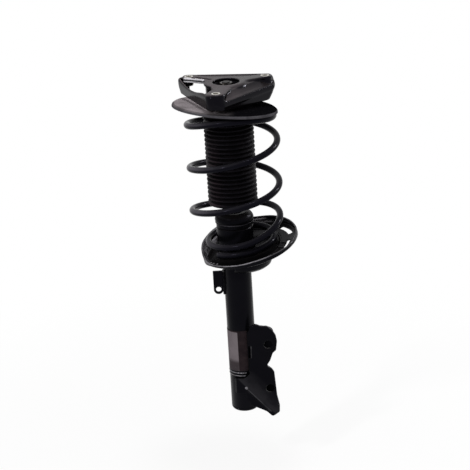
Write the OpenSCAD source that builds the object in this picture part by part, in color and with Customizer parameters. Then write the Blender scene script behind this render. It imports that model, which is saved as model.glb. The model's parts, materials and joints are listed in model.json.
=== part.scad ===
// MacPherson strut assembly: top mount, coil spring, damper and knuckle bracket.
// +Z runs up the strut. The origin is the centre of the three tower bolt holes,
// at the height of the ears' top faces. Sizes are in millimetres.

/* [Tower mount] */
// Sideways step from the tower bolt circle's centre to the strut axis
strut_x = 5; // [3:0.5:7]
// Diameter of the circle through the three tower bolt holes
tower_pcd = 160; // [156:1:166]
// Radius of each ear round its bolt hole
ear_r = 17; // [16:0.5:19]
// Turn of the front ear from straight ahead, in degrees
ear_turn = -10; // [-15:1:-5]
// Radius of the tapped hole in each insert
tower_hole_r = 5; // [4:0.5:6]
// Outer radius of the inserts
insert_r = 8; // [7.5:0.25:9]
// Length of the inserts
insert_length = 16; // [12:1:18]
// Thickness of the mount shell's outer wall
shell_wall = 4; // [3:0.5:5]
// Thickness of the mount shell's top
shell_top = 5; // [4:0.5:6]
// Depth of the mount shell below the ears at the strut axis
shell_depth = 34; // [32:0.5:34]
// Sideways slope of the mount shell's lower edge, in degrees
shell_slope = 5; // [3:0.5:6]
// Backward slope of the mount shell's lower edge, in degrees
shell_pitch = 2.1; // [1.5:0.1:3]
// Radius of the opening over the rod nut
opening_r = 24; // [22:0.5:26]
// Radius of the rubber bush
bush_r = 33; // [31:0.5:34]
// Height of the rubber bush at its outside
bush_height = 19; // [17:0.5:20]

/* [Bearing] */
// Radius of the ball circle
ball_circle_r = 37; // [36:0.5:38]
// Radius of a ball
ball_r = 2.5; // [2:0.1:2.8]
// Number of balls
ball_count = 20; // [12:1:24]
// Width of the bearing races
race_width = 12; // [11:0.5:13]
// Height of one bearing race
race_height = 3.6; // [3.3:0.1:4]

/* [Upper spring seat] */
// Radial room from the top turn's centre line to the upper seat's rim
cap_room = 15; // [13:0.5:18]
// Sideways step from the strut axis to the upper seat's centre
cap_x = -5; // [-7:0.5:-3]
// Height of the upper seat's rim plane at the strut axis
cap_z = -49; // [-52:0.5:-48]
// Sideways slope of the upper seat, in degrees
cap_slope = 7; // [5:0.5:8]
// Backward slope of the upper seat, in degrees
cap_pitch = 4.5; // [3:0.25:5]
// Thickness of the pressed seats
sheet = 2.5; // [2:0.25:3]
// Rise of the upper seat's dome over its rim
cap_rise = 7; // [5:0.5:8]

/* [Coil spring] */
// Diameter of the spring wire
wire_d = 12; // [10:0.5:13]
// Mean radius of the upper turns
spring_r = 80; // [78:0.5:81]
// Mean radius of the bottom turn
tail_r = 59.5; // [58:0.5:62]
// Distance between the open turns
spring_pitch = 80.5; // [76:0.5:82]
// Rise of the closed bottom turn
tail_pitch = 17; // [15.5:0.5:20]

/* [Damper] */
// Diameter of the piston rod
rod_d = 22; // [20:0.5:24]
// Diameter of the rod's threaded end
thread_d = 14; // [12:0.5:15]
// Outer diameter of the strut tube
tube_d = 51; // [50:0.5:53]
// Wall of the strut tube
tube_wall = 2.5; // [2:0.25:3]
// Height of the tube's upper end
tube_top = -248; // [-252:1:-246]
// Height of the tube's lower end
tube_bottom = -634; // [-640:1:-628]
// Inner radius of the pressure tube
bore_r = 17; // [16:0.25:17.5]
// Wall of the pressure tube
bore_wall = 1.5; // [1.25:0.25:1.75]
// Outer diameter of the striker cap
striker_d = 71; // [70:0.5:73]
// Height of the striker cap
striker_h = 25; // [22:1:28]
// Length of the jounce bumper
bumper_length = 62; // [55:1:68]
// Radius of the jounce bumper's upper end
bumper_r = 27; // [26:0.5:28]

/* [Dust boot] */
// Outer radius of the boot's ribs
boot_r = 45; // [43:0.5:46]
// Depth of the boot's ribs
rib_depth = 5.5; // [4.5:0.25:6]
// Wall of the boot
boot_wall = 1.5; // [1.25:0.25:2]
// Length of the boot
boot_length = 182; // [170:1:184]
// Number of ribs
rib_count = 21; // [18:1:23]

/* [Lower spring seat] */
// Radial room from the bottom turn's centre line to the lower seat's rim
pan_room = 31.5; // [29:0.5:34]
// Sideways step from the strut axis to the lower seat's centre
pan_x = 28; // [25:0.5:30]
// Height of the lower seat's rim plane at its centre
pan_z = -308; // [-312:0.5:-306]
// Sideways slope of the lower seat, in degrees
pan_slope = 12; // [10:0.5:13]
// Forward slope of the lower seat, in degrees
pan_pitch = 7; // [5:0.5:8]
// Height of the lower seat's rim
rim_h = 6; // [5:0.5:8]
// Radius of the collar that carries the lower seat
collar_r = 33.5; // [32:0.25:34]
// Height of the collar's lower end
collar_foot = -348; // [-352:1:-344]
// Radial width of the rim windows
window_w = 8; // [6:0.5:9]

/* [Brackets] */
// Distance between the two knuckle bolt holes
knuckle_spacing = 88; // [84:1:92]
// Radius of the knuckle bolt holes
knuckle_hole_r = 8; // [6:0.25:8.5]
// Distance from the strut axis to the knuckle bolts
knuckle_x = 48; // [46:0.5:50]
// Height of the upper knuckle bolt above the tube's lower end
knuckle_rise = 137; // [134:1:140]
// Thickness of the knuckle bracket's plates
plate = 5; // [4:0.25:6]
// Radius of the hose bracket's hole
hose_hole_r = 5; // [4:0.25:5.5]
// Height of the hose bracket's hole
hose_z = -393; // [-396:1:-390]

/* [Hidden] */
$fn = 64;

// Clearances and small shared sizes
slip = 0.05;            // running clearance of a shaft in its bore, radial
free = 0.3;             // clearance between parts that stay apart
cut = 1;                // how far a cut runs past the face that it opens
race_groove = 1.0;      // depth of the ball track in a race
flange_h = 3;           // mount shell's flange over the bearing
insert_boss = 4;        // wall of the ear boss round an insert
pad_h = 3;              // thickness of the upper spring pad
label_t = 0.4;          // thickness of the label
band_t = 1.2;           // thickness of a label band
band_h = 3;             // height of a label band
bush_dish = 10;         // depth of the well in the bush for washer and nut
rod_proud = 1.5;        // length of thread that stands out of the rod nut

// Heights of the top mount's stack, from the ears down
bush_top = -shell_top - free;
bush_bottom = bush_top - bush_height;
race_top = bush_bottom - flange_h - 2;
ball_z = race_top - race_height - ball_r + race_groove;
lower_race_top = ball_z - ball_r + race_groove;
hub_top = lower_race_top - race_height;
hub_r = ball_circle_r + race_width / 2 + 5;
washer_h = 3;
nut_h = 9;
sleeve_top = bush_top - bush_dish + 1.5;
sleeve_bottom = bush_bottom - 3;

rod_r = rod_d / 2;
tube_r = tube_d / 2;
tube_in = tube_r - tube_wall;
wire_r = wire_d / 2;
cap_r = spring_r + cap_room;
pan_r = tail_r + pan_room;

knuckle_z = tube_bottom + knuckle_rise;
lower_bolt_z = knuckle_z - knuckle_spacing;

// Damper's inner heights
guide_h = 20;
gland_h = 5;
seal_h = 7;
gland_z = tube_top - gland_h;
seal_z = gland_z - seal_h;
guide_z = seal_z - guide_h;
stop_h = 14;
stop_z = guide_z - 2 - stop_h;
piston_h = 24;
piston_z = stop_z - 1 - piston_h;
pin_r = 7;
piston_nut_h = 9;
base_h = 14;
valve_z = tube_bottom + base_h;
valve_h = 16;

// The spring's course, in turns from its lower tip, rising anticlockwise
tip_angle = 222;                  // where the lower tip lies, in degrees
open_start = 0.85;                // turns before the coil starts to open
lead_in = 0.8;                    // turns from the closed to the full pitch at the bottom
lead_out = 0.4;                   // turns from full pitch to flat at the top
flat_turns = 0.2;                 // turns that stay flat at the top
tail_lift = 1.7;                  // height of the wire's lower end over the pan's rim plane
tail_lean = [0.1, 0.05];          // rise of the bottom turn to +X and to +Y
body_lean = 0.031;                // rise of the open turns to +X
tail_z = pan_z + tail_lift;
top_z = cap_z + cap_rise - sheet - 1.5 - pad_h - wire_r - free;
out_start = (top_z - tail_z) / spring_pitch
    + (1 - tail_pitch / spring_pitch) * (open_start + lead_in / 2) - lead_out / 2;
spring_turns = out_start + lead_out + flat_turns;
tail_x = 12;                      // centre of the bottom turn
body_x = 5.5;                     // centre of the open turns
top_x = cap_x + 2;                // centre of the top turn
rings_per_turn = 20;
ring_sides = 8;

module on_strut() translate([strut_x, 0, 0]) children();

module tube(r_out, r_in, z0, z1) translate([0, 0, z0]) difference() {
    cylinder(r = r_out, h = z1 - z0);
    translate([0, 0, -cut]) cylinder(r = r_in, h = z1 - z0 + 2 * cut);
}

// ---------------------------------------------------------------- top mount
function ear_angle(k) = ear_turn - 90 + 120 * k;

module at_ears() for (k = [0:2]) rotate(ear_angle(k))
    translate([tower_pcd / 2, 0, 0]) children();

module shell_plan(inset = 0) hull() at_ears() circle(r = ear_r - inset, $fn = 48);

ear_reach = tower_pcd / 2 + ear_r;
shell_taper = 15;               // how far the ears draw in towards the shell's lower edge
window_width = 28;              // size of the window in the shell's rear wall
window_height = 10;
shell_drop = 2 * shell_depth;   // height of the blanks that the shell is cut from

// Round envelope that draws the walls in towards the shell's lower edge
module shell_envelope(inset) rotate_extrude($fn = 96) polygon([
    [0, 0], [ear_reach - inset, 0], [ear_reach - shell_taper / 8 - inset, -shell_depth * 0.5],
    [ear_reach - shell_taper / 2 - inset, -shell_depth * 0.9],
    [ear_reach - shell_taper - inset, -shell_depth * 1.25],
    [ear_reach - 2 * shell_taper - inset, -shell_drop], [0, -shell_drop]
]);

module shell_blank(inset) intersection() {
    translate([0, 0, -shell_drop]) linear_extrude(shell_drop) shell_plan(inset);
    shell_envelope(inset);
}

// Space above the mount shell's sloping lower edge
module above_edge() translate([0, 0, -shell_depth]) rotate([-shell_pitch, shell_slope, 0])
    translate([-2 * ear_reach, -2 * ear_reach, 0]) cube([4 * ear_reach, 4 * ear_reach, shell_drop]);

// A shallow dip in the top edge of the wall that faces the given direction
module shell_dip(angle, drop, radius) on_strut() rotate(angle)
    translate([bush_r + shell_wall + 2, 0, radius - drop]) rotate([0, 90, 0])
        cylinder(r = radius, h = ear_reach);

// Outline of the open pocket between the rear left ear and the front one
module pocket_plan() difference() {
    intersection() {
        shell_plan(shell_wall + 1);
        polygon([[0, 0], for (a = [0:60:120]) 2 * ear_reach
            * [cos(ear_angle(2) + a), sin(ear_angle(2) + a)]]);
    }
    on_strut() circle(r = bush_r + shell_wall + 3);
    for (k = [0, 2]) rotate(ear_angle(k)) translate([0, -insert_r - insert_boss])
        square([2 * ear_reach, 2 * (insert_r + insert_boss)]);
}

module mount_shell() color([0.05, 0.05, 0.06]) difference() {
    union() {
        difference() {
            intersection() {
                shell_blank(0);
                above_edge();
            }
            translate([0, 0, -shell_top]) shell_blank(shell_wall);
            translate([0, 0, -shell_top - cut]) linear_extrude(shell_top + 2 * cut) pocket_plan();
            shell_dip(ear_angle(2) + 60, shell_depth / 4, tower_pcd * 0.3);
        }
        on_strut() tube(bush_r + shell_wall, bush_r, bush_bottom - 2, -shell_top + 0.5);
        on_strut() tube(hub_r - 2, bush_r - 3, race_top, race_top + flange_h);
        at_ears() translate([0, 0, -insert_length])
            cylinder(r = insert_r + insert_boss, h = insert_length - 1);
    }
    on_strut() translate([0, 0, -shell_top - cut])
        cylinder(r = opening_r, h = shell_top + 2 * cut);
    on_strut() translate([0, 0, bush_bottom - 2]) cylinder(r = bush_r, h = -shell_top - bush_bottom + 2);
    at_ears() translate([0, 0, -insert_length - cut]) cylinder(r = insert_r, h = insert_length + 2 * cut);
    translate([strut_x - 2 * window_width, 0, -shell_depth * 0.55]) rotate([-90, 0, 0])
        linear_extrude(ear_reach) window_plan();
}

// Outline of the window through the mount shell's rear wall
module window_plan() union() {
    square([window_width - window_height, window_height], center = true);
    for (side = [-1, 1]) translate([side * (window_width - window_height) / 2, 0])
        circle(r = window_height / 2);
}

module mount_inserts() color([0.75, 0.74, 0.72]) at_ears()
    tube(insert_r, tower_hole_r, -insert_length, 0);

module mount_rubber() color([0.04, 0.04, 0.04]) on_strut() difference() {
    tube(bush_r, thread_d / 2 + 6, bush_bottom, bush_top);
    translate([0, 0, bush_top - bush_dish]) cylinder(r1 = opening_r - 3, r2 = opening_r, h = bush_dish + cut);
}

module bush_sleeve() color([0.5, 0.5, 0.5]) on_strut()
    tube(thread_d / 2 + 6, thread_d / 2 + slip, sleeve_bottom, sleeve_top);

module rod_washer() color([0.55, 0.55, 0.55]) on_strut()
    tube(opening_r - 4, thread_d / 2 + slip, sleeve_top, sleeve_top + washer_h);

module rod_nut() color([0.7, 0.7, 0.7]) on_strut() translate([0, 0, sleeve_top + washer_h])
    difference() {
        intersection() {
            cylinder(r = thread_d * 0.88, h = nut_h, $fn = 6);
            cylinder(r1 = thread_d * 1.05, r2 = thread_d * 0.78, h = nut_h);
        }
        translate([0, 0, -cut]) cylinder(r = thread_d / 2 + slip, h = nut_h + 2 * cut);
    }

// A race: a flat ring with a round ball track
module race(z, track_z) difference() {
    tube(ball_circle_r + race_width / 2, ball_circle_r - race_width / 2, z, z + race_height);
    translate([0, 0, track_z]) rotate_extrude()
        translate([ball_circle_r, 0]) circle(r = ball_r + slip, $fn = 24);
}

module upper_bearing_race() color([0.6, 0.6, 0.6]) on_strut() race(race_top - race_height, ball_z);
module lower_bearing_race() color([0.6, 0.6, 0.6]) on_strut() race(hub_top, ball_z);

module at_balls() for (k = [0:ball_count - 1]) rotate(360 / ball_count * k)
    translate([ball_circle_r, 0, ball_z]) children();

module bearing_balls() color([0.8, 0.8, 0.8]) on_strut() at_balls() sphere(r = ball_r, $fn = 24);

module bearing_cage() color([0.2, 0.3, 0.25]) on_strut() difference() {
    tube(ball_circle_r + race_width / 2 - 1, ball_circle_r - race_width / 2 + 1,
        ball_z - 0.9, ball_z + 0.9);
    at_balls() translate([0, 0, -2]) cylinder(r = ball_r + 0.1, h = 4);
}

// ------------------------------------------------------------ upper spring seat
module on_cap() on_strut() translate([0, 0, cap_z]) rotate([-cap_pitch, cap_slope, 0])
    translate([cap_x, 0, 0]) children();

cap_under = cap_rise - sheet;         // underside of the upper seat's dome
dome_edge = [cap_r - 11.5, cap_under - 1.5];
lip_edge = [cap_r - 5.5, cap_under - 2.4];

// Half section of the dished upper seat: over the dome inwards, back outwards below it
module cap_section() polygon([
    [cap_r, 0], [cap_r - 0.7, 2.2], [cap_r - 3.5, cap_rise - 2.6], [cap_r - 11, cap_rise - 1.5],
    [spring_r - wire_r - 6, cap_rise], [hub_r + 4, cap_rise + 0.6], [hub_r - 12, cap_rise + 0.6],
    [hub_r - 12, cap_under + 0.6], [hub_r + 4, cap_under + 0.6], [spring_r - wire_r - 6, cap_under],
    dome_edge, lip_edge, [cap_r - 3.1, 1.5], [cap_r - 2, -1], [cap_r, -1.4]
]);

module upper_spring_seat() color([0.1, 0.1, 0.11]) difference() {
    union() {
        difference() {
            on_cap() rotate_extrude($fn = 96) cap_section();
            on_strut() translate([0, 0, cap_z - 30]) cylinder(r = hub_r - 1, h = 60);
        }
        on_strut() tube(hub_r, hub_r - sheet, cap_z - 4, hub_top + 4.5);
        on_strut() tube(hub_r - 1, rod_r + 5, hub_top - sheet, hub_top);
    }
    on_strut() translate([0, 0, hub_top]) cylinder(r = hub_r - sheet, h = 20);
}

pad_seat = cap_under - 1.5;           // height of the pad's upper face
pad_inner_r = spring_r - wire_r - 3;
pad_outer_r = spring_r + wire_r + 2;

module upper_spring_pad() color([0.05, 0.05, 0.05]) on_cap() rotate_extrude() polygon([
    [pad_inner_r, cap_under - 0.35], dome_edge, [pad_outer_r, pad_seat - 0.75],
    [pad_outer_r, pad_seat + 0.5 - pad_h], [spring_r + 2, pad_seat - pad_h],
    [spring_r - 2, pad_seat - pad_h], [pad_inner_r, pad_seat + 0.5 - pad_h]
]);

module jounce_bumper() color([0.75, 0.68, 0.45]) on_strut() difference() {
    translate([0, 0, hub_top - sheet - bumper_length])
        scale([bumper_r / 27, bumper_r / 27, bumper_length / 62]) rotate_extrude() polygon([
            [0, 0], [17, 0], [21, 5], [21, 12], [17, 16], [21, 20], [24, 26], [24, 34],
            [19, 38], [25, 43], [27, 50], [27, 62], [0, 62]
        ]);
    translate([0, 0, hub_top - 1.5 * bumper_length]) cylinder(r = rod_r + 0.6, h = 2 * bumper_length);
}

// Half section of the boot: ribs out and in, with an even wall
boot_top = hub_top - sheet - free;
rib_pitch = (boot_length - 10) / rib_count;
function rib_line(step) = [for (k = [0:2 * rib_count])
    [boot_r - (k % 2) * rib_depth - step, -6 - k * rib_pitch / 2]];

module boot_section() polygon(concat(
    [[boot_r, 0]], rib_line(0), [[boot_r, -boot_length], [boot_r - boot_wall, -boot_length]],
    [for (k = [2 * rib_count:-1:0]) rib_line(boot_wall)[k]],
    [[boot_r - boot_wall, 0]]
));

module dust_boot() color([0.09, 0.08, 0.08]) on_strut() translate([0, 0, boot_top])
    rotate_extrude($fn = 48) boot_section();

// ------------------------------------------------------------------ coil spring
function blend(a, b, t) = let (u = min(1, max(0, t))) a + (b - a) * u * u * (3 - 2 * u);

// Turns climbed at full pitch, once the pitch has grown from nothing over some turns
function climb(s, start, span) = let (u = (s - start) / span)
    u < 0 ? 0 : u < 1 ? span * (pow(u, 3) - pow(u, 4) / 2) : s - start - span / 2;

widen_start = 0.8;                // turns before the coil starts to widen
widen_span = 0.75;                // turns from the bottom turn's radius to the full one
function coil_r(s) = blend(tail_r, spring_r, (s - widen_start) / widen_span);
function coil_x(s) = blend(blend(tail_x, body_x, (s - widen_start) / widen_span), top_x,
    (s - out_start) / 0.9);

// The end turns lean with their seats, and the lean fades out in the open turns
function seat_lean(s, x, y) = blend(1, 0, (s - 1.4) / 0.5) * [x, y] * (tail_lean - [body_lean, 0])
    + x * (body_lean + blend(0, 0.1, (s - 1.05) / 0.3) * blend(1, 0, (s - 1.4) / 0.4))
    - blend(0, 1, (s - out_start) / lead_out)
        * ((x - cap_x) * (tan(cap_slope) + body_lean) + y * tan(cap_pitch));

// Centre of the wire after s turns from the lower tip
function coil_point(s) = let (
        a = tip_angle + 360 * s,
        x = coil_x(s) + coil_r(s) * cos(a),
        y = coil_r(s) * sin(a),
        rise = tail_pitch * s + (spring_pitch - tail_pitch) * climb(s, open_start, lead_in)
            - spring_pitch * climb(s, out_start, lead_out))
    [x, y, tail_z + rise + seat_lean(s, x, y)];

function unit(v) = v / norm(v);

// One ring of points round the wire
function coil_ring(s) = let (
        a = tip_angle + 360 * s,
        along = unit(coil_point(s + 0.005) - coil_point(s - 0.005)),
        out = [cos(a), sin(a), 0],
        side = unit(out - (out * along) * along),
        up = cross(along, side))
    [for (k = [0:ring_sides - 1]) let (b = 360 / ring_sides * (k + 0.5))
        coil_point(s) + wire_r / cos(180 / ring_sides) * 0.96 * (cos(b) * side + sin(b) * up)];

ring_count = ceil(spring_turns * rings_per_turn);
coil_steps = [for (k = [0:ring_count]) spring_turns * k / ring_count];
coil_path = [for (s = coil_steps) coil_point(s)];
coil_gap = min([for (i = [0:ring_count], j = [i + rings_per_turn / 2:ring_count])
    norm(coil_path[i] - coil_path[j])]) - wire_d;
echo(least_gap_between_turns = coil_gap);

module coil_spring() color([0.09, 0.09, 0.11]) on_strut() polyhedron(
    points = concat([for (s = coil_steps) each coil_ring(s)], [coil_path[0], coil_path[ring_count]]),
    faces = concat(
        [for (i = [0:ring_count - 1], k = [0:ring_sides - 1]) let (
                a = i * ring_sides + k,
                b = i * ring_sides + (k + 1) % ring_sides)
            each [[a, b, a + ring_sides], [b, b + ring_sides, a + ring_sides]]],
        [for (k = [0:ring_sides - 1]) let (
                first = (ring_count + 1) * ring_sides,
                last = ring_count * ring_sides)
            each [[k, first, (k + 1) % ring_sides],
                [last + (k + 1) % ring_sides, first + 1, last + k]]]
    )
);

// ------------------------------------------------------------ lower spring seat
module on_pan() on_strut() translate([pan_x, 0, pan_z]) rotate([pan_pitch, -pan_slope, 0])
    children();

window_mid = pan_r - 17;    // radius of the windows' middle
window_arcs = [[-15, 37], [-47, 17]];   // start angle and sweep of each window
horn_h = 8;             // height of the raised part of the rim
pad_in = 6;             // pad's reach inside the wire's centre line
pad_out = 9;            // pad's reach outside the wire's centre line

module lower_spring_seat() color([0.07, 0.07, 0.08]) difference() {
    union() {
        on_pan() rotate_extrude($fn = 96) polygon([
            [collar_r / 2, -rim_h], [pan_r - 7, -rim_h], [pan_r - 3.5, -rim_h + 1.5],
            [pan_r - sheet, 0], [pan_r, 0], [pan_r, -rim_h + 1],
            [pan_r - 4, -rim_h - sheet], [collar_r / 2, -rim_h - sheet]
        ]);
        on_pan() intersection() {
            tube(pan_r, pan_r - sheet, -1, horn_h);
            translate([-pan_r, 0, horn_h + 1]) rotate([0, 20, 0]) translate([-30, -100, -60])
                cube([60, 200, 60]);
        }
        on_pan() translate([tail_x - pan_x, 0, 0])
            tube(tail_r + pad_out + 3, tail_r + pad_out + 1, -rim_h - 1, -rim_h + 2.5);
    }
    on_strut() translate([0, 0, pan_z - 80]) cylinder(r = collar_r + slip, h = 160);
    for (w = window_arcs) on_pan() translate([0, 0, -20]) rotate([0, 0, w[0]])
        rotate_extrude(angle = w[1]) translate([window_mid, 0]) square([window_w, 30]);
}

// Slopes of the plane on which the wire's bottom half turn lies
tail_start = coil_point(0);
tail_mid = coil_point(0.15);
tail_normal = cross(tail_mid - tail_start, coil_point(0.3) - tail_start);
pad_sweep = 125;        // arc of the lower spring pad, in degrees
pad_gap = 0.6;          // least room between the pad and the wire, which bears on it loaded

module lower_spring_pad() color([0.05, 0.05, 0.05]) difference() {
    on_pan() translate([tail_x - pan_x, 0, -rim_h])
        rotate([0, 0, tip_angle - 12]) rotate_extrude(angle = pad_sweep)
            translate([tail_r - pad_in, 0]) square([pad_in + pad_out, 4 * pad_in]);
    on_strut() translate(tail_mid)
        rotate([-atan(tail_normal[1] / tail_normal[2]), atan(tail_normal[0] / tail_normal[2]), 0])
            translate([-150, -150, -wire_r - pad_gap]) cube([300, 300, 100]);
}

collar_top = tube_top - striker_h + 4.5;

module seat_collar() color([0.07, 0.07, 0.08]) on_strut() rotate_extrude() polygon([
    [tube_r + slip, collar_top - 3], [tube_r + slip, collar_top], [collar_r - 3, collar_top],
    [collar_r, collar_top - 3], [collar_r, collar_foot + 16], [tube_r + 3, collar_foot],
    [tube_r + slip, collar_foot], [tube_r + slip, collar_foot + 3],
    [collar_r - 3, collar_foot + 18], [collar_r - 3, collar_top - 3]
]);

// A pressed funnel under the lower seat, on the side towards the knuckle bolts
brace_h = pan_z - collar_foot - 4;
brace_t = 3;            // wall of the seat brace
brace_foot_r = tube_r + 0.5;
brace_top_r = tail_r - brace_t;

module seat_brace() color([0.07, 0.07, 0.08]) difference() {
    on_strut() translate([tail_x, 0, collar_foot + 2]) difference() {
        cylinder(r1 = brace_foot_r, r2 = brace_top_r, h = brace_h);
        cylinder(r1 = brace_foot_r - brace_t, r2 = brace_top_r - brace_t, h = brace_h);
    }
    on_strut() translate([0, 0, collar_foot - brace_h]) cylinder(r = collar_r + slip, h = 3 * brace_h);
    on_strut() translate([-2 * brace_top_r, -2 * brace_top_r, collar_foot - brace_h])
        cube([2 * brace_top_r, 4 * brace_top_r, 3 * brace_h]);
    on_pan() translate([-2 * pan_r, -2 * pan_r, -rim_h - sheet]) cube([4 * pan_r, 4 * pan_r, pan_r]);
}

module striker_cap() color([0.06, 0.06, 0.06]) on_strut() difference() {
    translate([0, 0, tube_top - striker_h + 5]) rotate_extrude() polygon(concat(
        [[0, 0], [striker_d / 2, 0]],
        [for (a = [0:15:90]) [striker_d / 2 - 13 + 13 * cos(a), striker_h - 13 + 13 * sin(a)]],
        [[rod_r + 7, striker_h], [rod_r + 2.5, striker_h - 3], [0, striker_h - 3]]
    ));
    translate([0, 0, tube_top - striker_h - 5]) cylinder(r = striker_d / 2 - 3, h = striker_h + 5);
    translate([0, 0, tube_top - 10]) cylinder(r = rod_r + 2.5, h = 30);
}

// ----------------------------------------------------------------------- damper
module outer_tube() color([0.05, 0.05, 0.06]) on_strut() tube(tube_r, tube_in, tube_bottom, tube_top);

cup_h = 10;             // reach of the base cup into the tube
cup_edge = 6;           // radius of the base cup's edge

module base_cup() color([0.05, 0.05, 0.06]) on_strut() translate([0, 0, tube_bottom])
    rotate_extrude() polygon(concat(
        [[0, cup_h], [0, -cup_edge]],
        [for (a = [-90:15:0]) [tube_r - cup_edge + cup_edge * cos(a), cup_edge * sin(a)]],
        [[tube_in - slip, 0], [tube_in - slip, cup_h]]
    ));

module pressure_tube() color([0.6, 0.6, 0.6]) on_strut()
    tube(bore_r + bore_wall, bore_r, valve_z + 6, guide_z);

module base_valve() color([0.55, 0.55, 0.5]) on_strut() difference() {
    union() {
        translate([0, 0, tube_bottom + cup_h])
            cylinder(r = bore_r + bore_wall, h = base_h + 6 - cup_h);
        translate([0, 0, valve_z]) cylinder(r = bore_r - slip, h = valve_h);
    }
    for (k = [0:5]) rotate(60 * k) translate([bore_r * 0.6, 0, tube_bottom]) cylinder(r = 2, h = 60);
}

module rod_guide() color([0.55, 0.55, 0.5]) on_strut() difference() {
    tube(tube_in - slip, rod_r + slip, guide_z, seal_z);
    translate([0, 0, guide_z - cut]) difference() {
        cylinder(r = tube_in + cut, h = 8 + cut);
        cylinder(r = bore_r + bore_wall, h = 8 + cut);
    }
}

module rod_seal() color([0.06, 0.06, 0.06]) on_strut()
    tube(tube_in - slip, rod_r + slip, seal_z, gland_z);

module gland_ring() color([0.5, 0.5, 0.5]) on_strut()
    tube(tube_in - slip, rod_r + 1.5, gland_z, tube_top);

module piston_rod() color([0.82, 0.82, 0.83]) on_strut() union() {
    translate([0, 0, piston_z + piston_h]) cylinder(r = rod_r, h = sleeve_bottom - piston_z - piston_h);
    translate([0, 0, sleeve_bottom - 1])
        cylinder(r = thread_d / 2, h = sleeve_top + washer_h + nut_h + rod_proud + 1 - sleeve_bottom);
    translate([0, 0, piston_z - piston_nut_h - 2])
        cylinder(r = pin_r, h = piston_h + piston_nut_h + 3);
}

module piston() color([0.6, 0.6, 0.6]) on_strut() difference() {
    tube(bore_r - 0.4, pin_r + slip, piston_z, piston_z + piston_h);
    translate([0, 0, piston_z + 6]) tube(bore_r + 2, bore_r - 2, 0, piston_h - 12);
    for (k = [0:5]) rotate(60 * k) translate([11, 0, piston_z - 1]) cylinder(r = 1.5, h = piston_h + 2);
}

module piston_ring() color([0.15, 0.13, 0.1]) on_strut()
    tube(bore_r - slip, bore_r - 2, piston_z + 6, piston_z + piston_h - 6);

module piston_nut() color([0.6, 0.6, 0.6]) on_strut() difference() {
    translate([0, 0, piston_z - piston_nut_h]) cylinder(r = 12, h = piston_nut_h, $fn = 6);
    translate([0, 0, piston_z - 20]) cylinder(r = pin_r + slip, h = 30);
}

module rebound_stop() color([0.1, 0.1, 0.1]) on_strut()
    tube(bore_r - 1.5, rod_r + slip, stop_z, stop_z + stop_h);

// --------------------------------------------------------------------- brackets
hose_tab_r = 9;         // radius of the hose tab's lower end
hose_tab_h = 36;        // height of the hose tab over its hole
hose_tab_t = 3.5;       // thickness of the hose tab
hose_x = -tube_r - hose_tab_r - 2;

module hose_bracket() color([0.06, 0.06, 0.07]) on_strut() difference() {
    union() {
        rotate([0, 0, 163]) rotate_extrude(angle = 34)
            translate([tube_r + slip, hose_z - hose_tab_r + 1]) square([3, hose_tab_h + hose_tab_r - 1]);
        translate([0, hose_tab_t / 2, 0]) rotate([90, 0, 0]) linear_extrude(hose_tab_t) union() {
            translate([hose_x - hose_tab_r, hose_z]) square([2 * hose_tab_r, hose_tab_h]);
            translate([hose_x, hose_z]) circle(r = hose_tab_r);
        }
    }
    translate([hose_x, hose_tab_t, hose_z]) rotate([90, 0, 0])
        cylinder(r = hose_hole_r, h = 2 * hose_tab_t);
}

plate_in = tube_r + 0.1;      // inner face of the bracket's plates

// Side view of a bracket plate: a lobe round each bolt, a waist and a slanted foot
// The rear plate's upper lobe hangs lower than the front one's.
bracket_scale = knuckle_spacing / 88;   // the bracket's outline grows with its bolt spacing

module plate_plan(drop) offset(r = plate * 0.6, $fn = 32) offset(delta = -plate * 0.6)
    translate([knuckle_x, knuckle_z]) scale(bracket_scale) polygon([
        [-35, 10], [-20, 20], [-8, 18 - 4 * drop], [2, 18 - 4 * drop], [10, 13 - 8 * drop],
        [15, 4 - 10 * drop], [15 + 3 * drop, -8 - 10 * drop], [9 + 6 * drop, -18 - 18 * drop],
        [3 + 3 * drop, -34 - 8 * drop], [-6, -45], [4, -48], [9, -56], [10, -79], [12, -103],
        [16.5, -124], [16, -139], [2, -148], [-9, -137], [-25, -127], [-36, -121], [-45, -103],
        [-45, -66], [-35, -56]
    ]);

bolt_run = 2 * (plate_in + plate + cut);    // length of the cuts for the knuckle bolts
wrap_top = knuckle_z - 66 * bracket_scale;
wrap_foot = lower_bolt_z - 6 * bracket_scale;

module bracket_half(side) on_strut() difference() {
    union() {
        translate([0, side < 0 ? -plate_in : plate_in + plate, 0]) rotate([90, 0, 0])
            linear_extrude(plate) plate_plan(side < 0 ? 0 : 1);
        intersection() {
            tube(plate_in + plate - 0.3, plate_in, wrap_foot, wrap_top);
            translate([-plate_in * 0.55, side < 0 ? -2 * tube_r : 0, wrap_foot - cut])
                cube([plate_in * 0.85, 2 * tube_r, wrap_top - wrap_foot + 2 * cut]);
        }
    }
    for (z = [knuckle_z, lower_bolt_z]) translate([knuckle_x, bolt_run / 2, z]) rotate([90, 0, 0])
        cylinder(r = knuckle_hole_r, h = bolt_run);
}

module knuckle_bracket_front() color([0.05, 0.05, 0.07]) bracket_half(-1);
module knuckle_bracket_rear() color([0.05, 0.05, 0.07]) bracket_half(1);

module bracket_web() color([0.05, 0.05, 0.07]) on_strut() difference() {
    translate([knuckle_x, plate_in, lower_bolt_z]) rotate([90, 0, 0]) linear_extrude(2 * plate_in)
        scale(bracket_scale) polygon([
            [-28, -32], [-9, -43], [8, -52], [6, -57], [-9, -48], [-31, -37]
        ]);
    translate([0, 0, lower_bolt_z - 2 * tube_d]) cylinder(r = tube_r + slip, h = 4 * tube_d);
}

label_top = knuckle_z + 22 * bracket_scale;
label_foot = knuckle_z - 52 * bracket_scale;
band_step = 5.5;        // distance between the label bands
band_drop = 4;          // distance from the label's lower edge to the upper band's

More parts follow.
